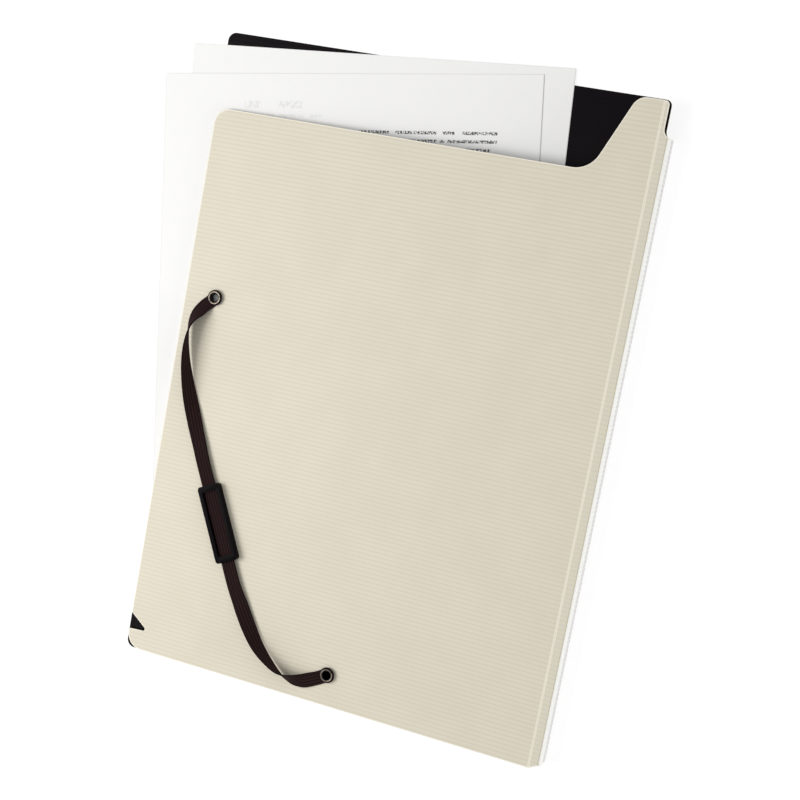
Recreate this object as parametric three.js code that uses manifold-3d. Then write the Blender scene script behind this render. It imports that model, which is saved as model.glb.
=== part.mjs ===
// Document folder of one creased plastic sheet, with a flat elastic strap and two loose A4 sheets inside.
// Millimetres, +Z up. The folder lies on its back cover: X runs from the open edge to the spine, Y up the
// folder, and the front cover is on top. The origin is under the middle of the whole, where it lies.
import * as THREE from 'three';
import { mergeVertices } from 'three/addons/utils/BufferGeometryUtils.js';
import Module from 'manifold-3d';

const wasm = await Module();
wasm.setup();

// Sheet that both covers, the spine and the hinge strip are made of
const sheetThickness = 0.9;
const foldOuterRadius = 1.1;
const foldInnerRadius = foldOuterRadius - sheetThickness;

// Sizes of the folder
const coverWidth = 237.8;        // front cover, from the open edge to the score line
const coverLowHeight = 304.8;    // front cover, its low top edge
const coverHeight = 344;         // front cover and hinge strip, beside the spine
const backOverhangTop = 1.5;
const backHeight = coverHeight + backOverhangTop;
const backOverhangLeft = 0.8;
const backOverhangBottom = 0.4;
const hingeStripWidth = 5.5;
const spineDepth = 11.7;
const scoreGap = 0.3;            // the crease between the hinge strip and the front cover
const frontCornerRadius = 8.5;
const backCornerRadius = 4.5;

// Swept shoulder between the low top edge and the spine
const shoulderFromScore = 30.2;  // foot of the slope, before its fillet
const shoulderRun = 16.9;        // from the foot of the slope to its head
const shoulderFootRadius = 13.5;
const shoulderHeadRadius = 7.5;

// Small notch in the front cover's open edge, where the strap is led round the corner
const edgeNotchTop = 20;
const edgeNotchBottom = 10.5;
const edgeNotchDepth = 11.7;
const edgeNotchTipY = 11.2;
const edgeNotchTipRadius = 1.2;
const edgeNotchMouthRadius = 0.5;

// Cut-outs at the two ends of the spine
const thumbNotchDepth = 17.8;    // below the top of the hinge strip
const thumbNotchBite = 3.1;      // into the hinge strip and the back cover
const thumbNotchRadius = 4.2;
const tabCornerRadius = 1.2;
const spineReliefRise = 2.2;

// A4 paper
const paperWidth = 210;
const paperLength = 297;
const paperThickness = 0.1;
const paperGap = 0.05;
const frontPaperTop = { x: 70.05, y: 333.6, turnDeg: 8.24 };   // middle of the top edge
const rearPaperTop = { x: 84.7, y: 345.35, turnDeg: 4.65 };

// The front cover sinks onto the paper at the open edge
const coverClearance = 0.7;
const paperStackTop = sheetThickness + 2 * (paperGap + paperThickness);
const coverEdgeHeight = paperStackTop + coverClearance + sheetThickness;
const coverTilt = Math.asin((spineDepth - coverEdgeHeight) / coverWidth);
const scoreX = coverWidth * Math.cos(coverTilt);
const spineX = scoreX + hingeStripWidth;

// Flat elastic strap
const strapWidth = 8.2;
const strapThickness = 0.9;
const strapSeatGap = 0.15;       // over the cover, and under the eyelet's flange
const strapCentre = strapSeatGap + strapThickness / 2;

// Eyelets, one at each end of the strap
const eyeletUpper = { x: 18.5, y: 203.7 };
const eyeletLower = { x: 121.4, y: 17.2 };
const eyeletHoleRadius = 2.2;
const eyeletWall = 0.4;
const eyeletFlangeRadius = 4.3;
const eyeletFlangeHeight = 0.95;
const eyeletClearance = 0.2;
const eyeletCurlRadius = 3.7;
const eyeletCurlHeight = 0.55;
const domeSteps = 8;
const washerRadius = 4.4;
const washerThickness = 0.35;
const washerGap = 0.1;
const barrelRadius = eyeletHoleRadius + eyeletWall;
const punchedRadius = barrelRadius + eyeletClearance;

// Slider, a moulded frame that the strap runs through
const sliderCentre = { x: 43.85, y: 82.9 };
const sliderTurnDeg = -63.8;     // its long side, which the strap follows
const sliderLength = 43.2;
const sliderWidth = 13.9;
const sliderEndBar = 3.4;
const sliderRearBar = 5;
const sliderRailLip = 3.4;
const sliderRoof = 0.9;
const sliderFloor = 0.85;
const sliderCornerRadius = 1.6;
const sliderEdgeRadius = 0.5;
const sliderWindowRadius = 0.8;
const sliderSlotClearance = 0.3; // above and below the strap
const sliderSideClearance = 0.35;
const sliderSeatGap = 0.3;       // between the slider and the cover
const sliderTravel = 11;         // each way along the strap
const straightRunMargin = 3.4;
const straightRunHalf = sliderLength / 2 + sliderTravel + straightRunMargin;
const strapLift = sliderSeatGap + sliderFloor + sliderSlotClearance + strapThickness / 2;

const cutMargin = 5;             // cutting tools reach past what they cut by this much
const ringSegments = 32;
const strapStepsEach = 3;        // rows of the strap from one station to the next

const ribbedCream = new THREE.MeshStandardMaterial({ color: '#ded6c4', roughness: 0.55, metalness: 0 });
const paperWhite = new THREE.MeshStandardMaterial({ color: '#f4f3f1', roughness: 0.9, metalness: 0 });
const elasticBrown = new THREE.MeshStandardMaterial({ color: '#2a191b', roughness: 0.85, metalness: 0 });
const sliderBlack = new THREE.MeshStandardMaterial({ color: '#1a1719', roughness: 0.35, metalness: 0 });
const gunmetal = new THREE.MeshStandardMaterial({ color: '#3b3330', roughness: 0.35, metalness: 0.9 });

const radians = THREE.MathUtils.degToRad;

// Closed outline with each corner [x, y, radius] rounded by an arc that touches both its sides.
function roundedOutline(corners) {
  const outline = new THREE.Shape();
  corners.forEach(([x, y, radius], i) => {
    const corner = new THREE.Vector2(x, y);
    const before = new THREE.Vector2(...corners.at(i - 1)).sub(corner).normalize();
    const after = new THREE.Vector2(...corners[(i + 1) % corners.length]).sub(corner).normalize();
    if (radius === 0) {
      if (i === 0) outline.moveTo(x, y);
      else outline.lineTo(x, y);
      return;
    }
    const halfAngle = Math.acos(before.dot(after)) / 2;
    const start = corner.clone().addScaledVector(before, radius / Math.tan(halfAngle));
    const end = corner.clone().addScaledVector(after, radius / Math.tan(halfAngle));
    const middle = before.clone().add(after).setLength(radius / Math.sin(halfAngle)).add(corner);
    const turnsRight = before.cross(after) > 0;
    if (i === 0) outline.moveTo(start.x, start.y);
    else outline.lineTo(start.x, start.y);
    const from = start.clone().sub(middle).angle();
    const to = end.clone().sub(middle).angle();
    outline.absarc(middle.x, middle.y, radius, from, to, turnsRight);
  });
  outline.closePath();
  return outline;
}

function circlePath(x, y, radius) {
  return new THREE.Path().absarc(x, y, radius, 0, 2 * Math.PI, true);
}

function plate(outline, thickness, curveSegments = 10) {
  return new THREE.ExtrudeGeometry(outline, { depth: thickness, bevelEnabled: false, curveSegments });
}

function toSolid(geometry) {
  const bare = geometry.clone();
  bare.deleteAttribute('normal');
  bare.deleteAttribute('uv');
  const merged = mergeVertices(bare, 1e-4);
  const vertProperties = Float32Array.from(merged.attributes.position.array);
  const triVerts = Uint32Array.from(merged.index.array);
  return new wasm.Manifold(new wasm.Mesh({ numProp: 3, vertProperties, triVerts }));
}

function toGeometry(solid) {
  const { vertProperties, triVerts } = solid.getMesh();
  const geometry = new THREE.BufferGeometry();
  geometry.setAttribute('position', new THREE.BufferAttribute(Float32Array.from(vertProperties), 3));
  geometry.setIndex(new THREE.BufferAttribute(Uint32Array.from(triVerts), 1));
  return geometry;
}

function mesh(name, geometry, material) {
  const piece = new THREE.Mesh(geometry, material);
  piece.name = name;
  return piece;
}

// Back cover, spine and hinge strip: one sheet, folded twice at the spine.
// Its section in X and Z is drawn as an outline, and runs the whole height of the folder.
function foldedSheet() {
  const left = -backOverhangLeft;
  const stripEnd = scoreX + scoreGap / 2;
  const insideX = spineX - sheetThickness;
  const section = roundedOutline([
    [left, 0, 0],
    [spineX, 0, foldOuterRadius],
    [spineX, spineDepth, foldOuterRadius],
    [stripEnd, spineDepth, 0],
    [stripEnd, spineDepth - sheetThickness, 0],
    [insideX, spineDepth - sheetThickness, foldInnerRadius],
    [insideX, sheetThickness, foldInnerRadius],
    [left, sheetThickness, 0],
  ]);
  const blank = plate(section, backHeight + backOverhangBottom, 6);
  blank.rotateX(Math.PI / 2);
  blank.translate(0, backHeight, 0);

  const pastSpine = spineX + cutMargin;
  const pastTop = backHeight + cutMargin;
  const tall = spineDepth + 2 * cutMargin;
  const cutter = (corners, bottom) => toSolid(plate(roundedOutline(corners), tall).translate(0, 0, bottom));
  const keepBack = cutter([
    [left, -backOverhangBottom, backCornerRadius],
    [pastSpine, -backOverhangBottom, 0],
    [pastSpine, backHeight, 0],
    [left, backHeight, backCornerRadius],
  ], -cutMargin);
  const stripTop = cutter([
    [scoreX - cutMargin, coverHeight, 0],
    [pastSpine, coverHeight, 0],
    [pastSpine, pastTop, 0],
    [scoreX - cutMargin, pastTop, 0],
  ], spineDepth - sheetThickness - cutMargin);
  const notchX = spineX - thumbNotchBite;
  const notchY = coverHeight - thumbNotchDepth;
  const thumbNotch = (topY, bottom) => cutter([
    [notchX, notchY, thumbNotchRadius],
    [pastSpine, notchY, 0],
    [pastSpine, pastTop, 0],
    [notchX - tabCornerRadius, pastTop, 0],
    [notchX - tabCornerRadius, topY, 0],
    [notchX, topY, tabCornerRadius],
  ], bottom);
  const spineRelief = cutter([
    [scoreX, -cutMargin, 0],
    [pastSpine, -cutMargin, 0],
    [pastSpine, spineReliefRise, 0],
    [spineX, spineReliefRise, 0],
    [scoreX, 0, 0],
  ], -cutMargin);
  const halfDepth = spineDepth / 2;
  const sheet = toSolid(blank)
    .intersect(keepBack)
    .subtract(stripTop)
    .subtract(thumbNotch(backHeight, halfDepth - tall))
    .subtract(thumbNotch(coverHeight, halfDepth))
    .subtract(spineRelief);
  return toGeometry(sheet);
}

// Front cover, in its own frame: x from the open edge to the score line, z = 0 on the outer face.
function frontCoverSheet() {
  const right = coverWidth - scoreGap / 2;
  const footX = coverWidth - shoulderFromScore;
  const headX = footX + shoulderRun;
  const outline = roundedOutline([
    [0, 0, frontCornerRadius],
    [right, 0, 0],
    [right, coverHeight, 0],
    [headX, coverHeight, shoulderHeadRadius],
    [footX, coverLowHeight, shoulderFootRadius],
    [0, coverLowHeight, frontCornerRadius],
    [0, edgeNotchTop, edgeNotchMouthRadius],
    [edgeNotchDepth, edgeNotchTipY, edgeNotchTipRadius],
    [0, edgeNotchBottom, edgeNotchMouthRadius],
  ]);
  for (const eyelet of [eyeletUpper, eyeletLower]) {
    outline.holes.push(circlePath(eyelet.x, eyelet.y, punchedRadius));
  }
  return plate(outline, sheetThickness).translate(0, 0, -sheetThickness);
}

// Eyelet: a domed flange over the strap, a barrel through strap and cover, and an end curled over the washer.
function eyeletTube() {
  const flangeUnder = strapCentre + strapThickness / 2 + strapSeatGap;
  const washerUnder = -sheetThickness - washerGap - washerThickness - washerGap;
  const domeRadius = (eyeletFlangeRadius - eyeletHoleRadius) / 2;
  const domeMiddle = eyeletHoleRadius + domeRadius;
  const profile = [];
  for (let i = 0; i <= domeSteps; i += 1) {
    const angle = Math.PI * (1 - i / domeSteps);
    const height = eyeletFlangeHeight * Math.sin(angle);
    profile.push(new THREE.Vector2(domeMiddle + domeRadius * Math.cos(angle), flangeUnder + height));
  }
  profile.push(new THREE.Vector2(barrelRadius, flangeUnder));
  profile.push(new THREE.Vector2(barrelRadius, washerUnder));
  profile.push(new THREE.Vector2(eyeletCurlRadius, washerUnder));
  profile.push(new THREE.Vector2(eyeletCurlRadius - eyeletCurlHeight / 2, washerUnder - eyeletCurlHeight));
  profile.push(new THREE.Vector2(eyeletHoleRadius + eyeletCurlHeight / 2, washerUnder - eyeletCurlHeight));
  profile.push(new THREE.Vector2(eyeletHoleRadius, washerUnder - eyeletCurlHeight / 2));
  return ringGeometry(profile);
}

function washerRing() {
  const top = -sheetThickness - washerGap;
  return ringGeometry([
    new THREE.Vector2(punchedRadius, top),
    new THREE.Vector2(washerRadius, top),
    new THREE.Vector2(washerRadius, top - washerThickness),
    new THREE.Vector2(punchedRadius, top - washerThickness),
  ]);
}

// Ring turned about Z from a closed profile of radius and height, listed clockwise.
function ringGeometry(profile) {
  const closed = [...profile, profile[0]].reverse();
  return new THREE.LatheGeometry(closed, ringSegments).rotateX(Math.PI / 2);
}

// Elastic strap, as it lies on the front cover from one eyelet to the other. It stands on edge at both
// bends, and between them it lies the other way up, straight through the slider.
// A bend's stations are [place along the line between its two ends, place to the left of it, rise, twist,
// width]. Both places are shares of that line's length, rise and width are shares of the strap's width,
// and the twist is in degrees.
const upperBend = [
  [-0.022, 0.028, 0, 0, 0.5],
  [0, 0, 0, 0, 0.85],
  [0.034, -0.041, 0, -2, 0.9],
  [0.056, -0.065, 0.085, -11, 0.96],
  [0.083, -0.086, 0.244, -18, 1],
  [0.11, -0.107, 0.366, -29, 1],
  [0.139, -0.123, 0.463, -42, 1],
  [0.173, -0.135, 0.537, -54, 1],
  [0.211, -0.142, 0.573, -65, 1],
  [0.277, -0.149, 0.585, -79, 1],
  [0.354, -0.149, 0.561, -92, 1],
  [0.435, -0.142, 0.512, -104, 1],
  [0.534, -0.127, 0.402, -120, 1],
  [0.633, -0.106, 0.317, -137, 1],
  [0.726, -0.082, 0.244, -155, 1],
  [0.818, -0.057, 0.195, -168, 1],
  [0.91, -0.028, 0.171, -176, 1],
];
const lowerBend = [
  [0.104, -0.056, 0.195, -170, 1],
  [0.205, -0.107, 0.28, -154, 1],
  [0.319, -0.16, 0.378, -138, 1],
  [0.439, -0.207, 0.463, -121, 1],
  [0.564, -0.234, 0.524, -102, 1],
  [0.682, -0.245, 0.549, -82, 1],
  [0.733, -0.24, 0.524, -68, 1],
  [0.775, -0.229, 0.463, -53, 1],
  [0.818, -0.212, 0.378, -36, 1],
  [0.855, -0.19, 0.268, -23, 1],
  [0.89, -0.162, 0.159, -13, 1],
  [0.922, -0.122, 0.061, -6, 0.96],
  [0.958, -0.072, 0, 0, 0.9],
  [1, 0, 0, 0, 0.85],
  [1.024, 0.039, 0, 0, 0.5],
];

// Stations of the whole strap as { middle, twist, width }, from the upper eyelet to the lower one.
function strapStations() {
  const turn = radians(sliderTurnDeg);
  const onRun = (distance) => new THREE.Vector3(
    sliderCentre.x + Math.cos(turn) * distance,
    sliderCentre.y + Math.sin(turn) * distance,
    strapLift,
  );
  const bend = (from, to, stations) => {
    const line = new THREE.Vector3(to.x - from.x, to.y - from.y, 0);
    const left = new THREE.Vector3(-line.y, line.x, 0);
    return stations.map(([along, aside, rise, twist, width]) => ({
      middle: new THREE.Vector3(from.x, from.y, strapCentre + rise * strapWidth)
        .addScaledVector(line, along)
        .addScaledVector(left, aside),
      twist,
      width: width * strapWidth,
    }));
  };
  const runStart = onRun(-straightRunHalf);
  const runEnd = onRun(straightRunHalf);
  const run = [runStart, onRun(0), runEnd].map((middle) => ({ middle, twist: -180, width: strapWidth }));
  return [...bend(eyeletUpper, runStart, upperBend), ...run, ...bend(runEnd, eyeletLower, lowerBend)];
}

// Flat band carried along the stations. Its width starts out level, at right angles to the run, and is turned
// about the run by the twist. The section is a thin rectangle.
function strapBand() {
  const stations = strapStations();
  const route = new THREE.CatmullRomCurve3(stations.map(({ middle }) => middle), false, 'centripetal');
  const positions = [];
  const index = [];
  const rows = (stations.length - 1) * strapStepsEach + 1;
  for (let row = 0; row < rows; row += 1) {
    const u = row / (rows - 1);
    const station = Math.min(Math.floor(row / strapStepsEach), stations.length - 2);
    const [before, after] = stations.slice(station, station + 2);
    const blend = row / strapStepsEach - station;
    const twist = radians(THREE.MathUtils.lerp(before.twist, after.twist, blend));
    const halfWidth = THREE.MathUtils.lerp(before.width, after.width, blend) / 2;
    const middle = route.getPoint(u);
    const forward = route.getTangent(u);
    const level = new THREE.Vector3(forward.y, -forward.x, 0).normalize();
    const up = new THREE.Vector3().crossVectors(forward, level).normalize();
    const across = level.clone().multiplyScalar(Math.cos(twist)).addScaledVector(up, -Math.sin(twist));
    const face = new THREE.Vector3().crossVectors(forward, across).normalize();
    for (const [w, t] of [[-1, -1], [1, -1], [1, 1], [-1, 1]]) {
      const corner = middle.clone().addScaledVector(across, w * halfWidth);
      corner.addScaledVector(face, t * strapThickness / 2);
      positions.push(corner.x, corner.y, corner.z);
    }
  }
  for (let row = 0; row + 1 < rows; row += 1) {
    for (let side = 0; side < 4; side += 1) {
      const a = row * 4 + side;
      const b = row * 4 + (side + 1) % 4;
      index.push(a, b, b + 4, a, b + 4, a + 4);
    }
  }
  const last = (rows - 1) * 4;
  index.push(0, 2, 1, 0, 3, 2);
  index.push(last, last + 1, last + 2, last, last + 2, last + 3);
  const band = new THREE.BufferGeometry();
  band.setAttribute('position', new THREE.Float32BufferAttribute(positions, 3));
  band.setIndex(index);
  return band;
}

function strapWithHoles() {
  const punchLength = strapThickness + cutMargin;
  let strap = toSolid(strapBand());
  for (const eyelet of [eyeletUpper, eyeletLower]) {
    const punch = new THREE.CylinderGeometry(punchedRadius, punchedRadius, punchLength, ringSegments);
    punch.rotateX(Math.PI / 2).translate(eyelet.x, eyelet.y, strapCentre);
    strap = strap.subtract(toSolid(punch));
  }
  return toGeometry(strap);
}

// Slider in its own frame: x along the strap, z = 0 at the middle of the strap, which runs through a flat slot,
// under an end bar at each end, and shows in the long window between them.
function sliderFrame() {
  const bottom = -strapThickness / 2 - sliderSlotClearance - sliderFloor;
  const top = strapThickness / 2 + sliderSlotClearance + sliderRoof;
  const rectangle = (length, width, radius) => roundedOutline([
    [-length / 2, -width / 2, radius],
    [length / 2, -width / 2, radius],
    [length / 2, width / 2, radius],
    [-length / 2, width / 2, radius],
  ]);
  const inset = 2 * sliderEdgeRadius;
  const body = new THREE.ExtrudeGeometry(
    rectangle(sliderLength - inset, sliderWidth - inset, sliderCornerRadius - sliderEdgeRadius),
    {
      depth: top - bottom - inset, curveSegments: 5,
      bevelSize: sliderEdgeRadius, bevelThickness: sliderEdgeRadius, bevelSegments: 3,
    },
  ).translate(0, 0, bottom + sliderEdgeRadius);
  const slotHeight = strapThickness + 2 * sliderSlotClearance;
  const slotWidth = strapWidth + 2 * sliderSideClearance;
  const slot = new THREE.BoxGeometry(sliderLength + cutMargin, slotWidth, slotHeight);
  const windowLength = sliderLength - 2 * sliderEndBar;
  const windowWidth = sliderWidth - 2 * sliderRailLip;
  const rearLength = sliderLength - 2 * sliderRearBar;
  const frontWindow = plate(rectangle(windowLength, windowWidth, sliderWindowRadius), top + cutMargin, 4);
  const rearWindow = plate(rectangle(rearLength, slotWidth, sliderWindowRadius), cutMargin - bottom, 4);
  rearWindow.translate(0, 0, bottom - cutMargin);
  const frame = toSolid(body)
    .subtract(toSolid(slot))
    .subtract(toSolid(frontWindow))
    .subtract(toSolid(rearWindow));
  return toGeometry(frame);
}

function paperSheet(name, top, bottomZ) {
  const sheet = mesh(name, new THREE.BoxGeometry(paperWidth, paperLength, paperThickness), paperWhite);
  sheet.geometry.translate(0, -paperLength / 2, paperThickness / 2);
  sheet.position.set(top.x, top.y, bottomZ);
  sheet.rotation.z = radians(top.turnDeg);
  return sheet;
}

// The front cover's frame hangs from the score line, tilted down to the open edge.
const cover = new THREE.Group();
cover.position.set(scoreX, 0, spineDepth);
cover.rotation.y = -coverTilt;
const onCover = new THREE.Group();
onCover.position.x = -coverWidth;
cover.add(onCover);
onCover.add(mesh('front_cover', frontCoverSheet(), ribbedCream));
onCover.add(mesh('elastic_strap', strapWithHoles(), elasticBrown));
for (const [place, eyelet] of [['upper', eyeletUpper], ['lower', eyeletLower]]) {
  const tube = mesh(`eyelet_${place}`, eyeletTube(), gunmetal);
  tube.position.set(eyelet.x, eyelet.y, 0);
  const washer = mesh(`washer_${place}`, washerRing(), gunmetal);
  washer.position.copy(tube.position);
  onCover.add(tube, washer);
}
const slider = mesh('strap_slider', sliderFrame(), sliderBlack);
slider.position.set(sliderCentre.x, sliderCentre.y, strapLift);
slider.rotation.z = radians(sliderTurnDeg);
onCover.add(slider);

const folder = new THREE.Group();
const rearPaperZ = sheetThickness + paperGap;
const frontPaperZ = rearPaperZ + paperThickness + paperGap;
folder.add(mesh('back_cover', foldedSheet(), ribbedCream));
folder.add(paperSheet('paper_rear', rearPaperTop, rearPaperZ));
folder.add(paperSheet('paper_front', frontPaperTop, frontPaperZ));
folder.add(cover);

folder.updateMatrixWorld(true);
const extent = new THREE.Box3().setFromObject(folder, true);
const centre = extent.getCenter(new THREE.Vector3());
folder.position.set(-centre.x, -centre.y, -extent.min.z);

const padfolio = new THREE.Group();
padfolio.add(folder);

export default padfolio;
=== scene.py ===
"""Document folder of ribbed plastic sheet with a strap, a slider and two loose papers, in millimetres."""

import bpy
import numpy as np
from mathutils import Matrix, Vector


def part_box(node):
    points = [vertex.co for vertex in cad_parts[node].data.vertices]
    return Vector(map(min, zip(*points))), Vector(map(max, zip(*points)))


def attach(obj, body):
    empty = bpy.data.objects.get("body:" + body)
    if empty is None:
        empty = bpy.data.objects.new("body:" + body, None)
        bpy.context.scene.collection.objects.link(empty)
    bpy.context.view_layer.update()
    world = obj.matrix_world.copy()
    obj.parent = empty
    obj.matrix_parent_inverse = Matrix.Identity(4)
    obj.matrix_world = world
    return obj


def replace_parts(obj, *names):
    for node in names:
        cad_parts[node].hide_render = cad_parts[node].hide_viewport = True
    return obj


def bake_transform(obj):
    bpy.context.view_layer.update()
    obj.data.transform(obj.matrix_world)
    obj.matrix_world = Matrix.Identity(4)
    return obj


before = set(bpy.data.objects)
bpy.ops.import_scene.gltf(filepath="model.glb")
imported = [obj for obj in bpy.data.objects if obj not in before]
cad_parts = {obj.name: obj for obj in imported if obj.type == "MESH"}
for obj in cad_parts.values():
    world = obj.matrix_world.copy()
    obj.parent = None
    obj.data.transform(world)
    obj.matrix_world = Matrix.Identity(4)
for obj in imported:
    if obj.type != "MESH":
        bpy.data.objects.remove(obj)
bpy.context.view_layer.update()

# Back cover, spine and hinge strip. One blank of polypropylene sheet, extruded cream on one side and black
# on the other with ribs across it. It is die cut flat and creased twice at the spine, cream side out.
MM = 0.001
SHEET = 0.9
FOLD_RADIUS = 1.1
BACK_OVERHANG = {"open edge": 0.8, "foot": 0.4, "top": 1.5}
BACK_LOW, BACK_HIGH = (np.array(corner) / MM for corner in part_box("back_cover"))
ORIGIN = np.array([BACK_LOW[0] + BACK_OVERHANG["open edge"], BACK_LOW[1] + BACK_OVERHANG["foot"], 0.0])
SPINE_DEPTH = BACK_HIGH[2]
SPINE_X = BACK_HIGH[0] - ORIGIN[0]
BACK_TOP = BACK_HIGH[1] - ORIGIN[1]
COVER_TOP = BACK_TOP - BACK_OVERHANG["top"]
STRIP_WIDTH = 5.5
CREASE_GAP = 0.3
BACK_CORNER = 4.5
TAB_CORNERS = {"strip": 2.2, "back": 3.0}
THUMB_NOTCH = {"depth": 17.8, "bite": 3.1, "radius": 4.2}
SPINE_RELIEF = {"depth": 2.2, "radius": 1.0}
SPINE_LEAN = {"out": 1.25, "run": 40.0}
RIB_PITCH = 2.381
RIB_ROWS = 6
# A groove's widths are shares of the rib pitch: of its bell in the shape, and of its painted shade in the
# colours.
GROOVE = {"depth": 0.035, "bell": 0.17, "face": 0.27, "band": 0.3, "strength": 0.6}
CUT_REACH = 3.0
POLYPROPYLENE_IOR = 1.49
MOTTLE = {"size": 25.0, "from": 0.3, "to": 0.7}
# The tooth's size is a guess, as it is too fine to be seen.
TOOTH = {"size": 0.35, "height": 0.02, "strength": 0.25}
# A highlight painted as a pale rim along the cut edges: full at the second distance from the edge, gone at
# the first. Each finish's edge colour is that highlight.
EDGE_HIGHLIGHT = {"from": 0.62, "to": 0.2}
# Each finish's groove colour is shade painted into the grooves between the ribs.
CREAM = {"plain": "#dbd4c2", "mottle": "#d8d1be", "groove": "#cdc5b0", "edge": "#efe9d9",
         "roughness": 0.57, "gloss": 0.5}
BLACK = {"plain": "#090509", "mottle": "#0d080c", "groove": "#070406", "edge": "#120c10",
         "roughness": 0.42, "gloss": 0.06}
CUT_FACE = {"plain": "#ded7c6", "mottle": "#dad3c2", "groove": "#d0c8b4", "edge": "#efe9d6",
            "roughness": 0.6, "gloss": 0.5}
BAND_BORDER = 0.15
# Painted light and shade on the spine: its face is painted near white from this far below its upper fold, and
# a line this wide at the fold into the strip is painted olive as shade.
LIT_SPINE_BAND = 4.6
FOLD_SHADE_LINE = 0.5
CREASE_LINE = {"colours": ("#dfd9c9", "#dad3c2"), "width": 0.12, "past": 1.0, "gap": 0.08}
BACK_COLUMNS = {"open edge": (-2, 0.4, 2, 4, 8), "apart": 16, "before fold": (6, 3, 1), "bend": 7,
                "strip": (0.6, 1.8, 3.2, 4.6)}


def linear(hex_colour):
    """An sRGB hex colour as linear red, green, blue and full alpha."""
    srgb = np.array([int(hex_colour[i:i + 2], 16) for i in (1, 3, 5)]) / 255
    value = np.where(srgb <= 0.04045, srgb / 12.92, ((srgb + 0.055) / 1.055) ** 2.4)
    return (*value.tolist(), 1.0)


def add_node(tree, kind, settings=None, links=None):
    """Adds a shader node. Settings are its options, and links its inputs: each a socket or a value."""
    node = tree.nodes.new(f"ShaderNode{kind}")
    for name, value in (settings or {}).items():
        setattr(node, name, value)
    for place, value in (links or {}).items():
        if isinstance(value, bpy.types.NodeSocket):
            tree.links.new(value, node.inputs[place])
        else:
            node.inputs[place].default_value = value
    return node


def fade(tree, share, *steps):
    """A share times one smooth step after another, each as (value, where it is 0, where it is 1)."""
    for value, none, full in steps:
        links = {"Value": value, "From Min": none, "From Max": full, "To Max": share}
        share = add_node(tree, "MapRange", {"interpolation_type": "SMOOTHSTEP"}, links).outputs[0]
    return share


def paint(tree, colour, *layers):
    """A hex colour or a socket, with others laid over it in turn, each as (share, colour)."""
    for share, over in layers:
        under, over = (linear(shade) if isinstance(shade, str) else shade for shade in (colour, over))
        colour = add_node(tree, "Mix", {"data_type": "RGBA"}, {0: share, 6: under, 7: over}).outputs[2]
    return colour


def new_material(name):
    """An empty node material, and its tree."""
    material = bpy.data.materials.new(name)
    material.use_nodes = True
    material.node_tree.nodes.clear()
    return material, material.node_tree


def finish_surface(tree, inputs):
    """Ends a material with a surface shader that has these inputs."""
    shader = add_node(tree, "BsdfPrincipled", links=inputs)
    add_node(tree, "OutputMaterial", links={"Surface": shader.outputs[0]})


def flat_place(tree):
    """The place on a piece before it was folded or bent, in millimetres: as a vector, and its two parts."""
    flat = add_node(tree, "Attribute", {"attribute_name": "flat"}).outputs["Vector"]
    parts = add_node(tree, "SeparateXYZ", links={0: flat})
    return flat, parts.outputs[0], parts.outputs[1]


def groove_shade_share(tree, along, width, strength=1.0):
    """Share of shade painted into each groove between two ribs: the strength in its middle, fading to 0 at
    that share of the pitch.
    """
    from_rib = add_node(tree, "Math", {"operation": "PINGPONG"}, {0: along, 1: RIB_PITCH / 2}).outputs[0]
    return fade(tree, strength, (from_rib, (0.5 - width) * RIB_PITCH, 0.5 * RIB_PITCH))


def sheet_material(name, face, bands=()):
    """Extruded polypropylene: a plain satin skin with a fine matt tooth, shade painted into the grooves
    between the ribs, and a highlight painted as a pale rim along the cut edges. Bands are (colour, groove
    colour, from, to) across the blank, with soft borders: sheet strained pale at a crease, and painted light
    and shade on the spine and hinge strip."""
    material, tree = new_material(name)
    across, along = flat_place(tree)[1:]
    place = add_node(tree, "TexCoord").outputs["Object"]
    mottle_scale = 1 / (MOTTLE["size"] * MM)
    mottle = add_node(tree, "TexNoise", links={"Vector": place, "Scale": mottle_scale, "Detail": 2.0})
    mottled = fade(tree, 1.0, (mottle.outputs["Fac"], MOTTLE["from"], MOTTLE["to"]))
    # Shade painted into the grooves between the ribs.
    groove_shade = groove_shade_share(tree, along, GROOVE["face"], GROOVE["strength"])
    colour = paint(tree, face["plain"], (mottled, face["mottle"]), (groove_shade, face["groove"]))
    for band_colour, groove_colour, start, end in bands:
        inside = fade(tree, 1.0, (across, start - BAND_BORDER, start + BAND_BORDER),
                      (across, end + BAND_BORDER, end - BAND_BORDER))
        band = paint(tree, band_colour, (groove_shade_share(tree, along, GROOVE["band"]), groove_colour))
        colour = paint(tree, colour, (inside, band))
    # Painted highlight: a pale rim along the cut edges.
    from_edge = add_node(tree, "Attribute", {"attribute_name": "edge"}).outputs["Fac"]
    edge_highlight = fade(tree, 1.0, (from_edge, EDGE_HIGHLIGHT["from"], EDGE_HIGHLIGHT["to"]))
    tooth_scale = 1 / (TOOTH["size"] * MM)
    tooth = add_node(tree, "TexNoise", links={"Vector": place, "Scale": tooth_scale, "Detail": 1.0})
    bump = add_node(tree, "Bump", links={"Height": tooth.outputs["Fac"], "Strength": TOOTH["strength"],
                                         "Distance": TOOTH["height"] * MM})
    colour = paint(tree, colour, (edge_highlight, face["edge"]))
    finish_surface(tree, {"Base Color": colour, "Normal": bump.outputs[0], "Roughness": face["roughness"],
                          "IOR": POLYPROPYLENE_IOR, "Specular IOR Level": face["gloss"]})
    return material


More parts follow.
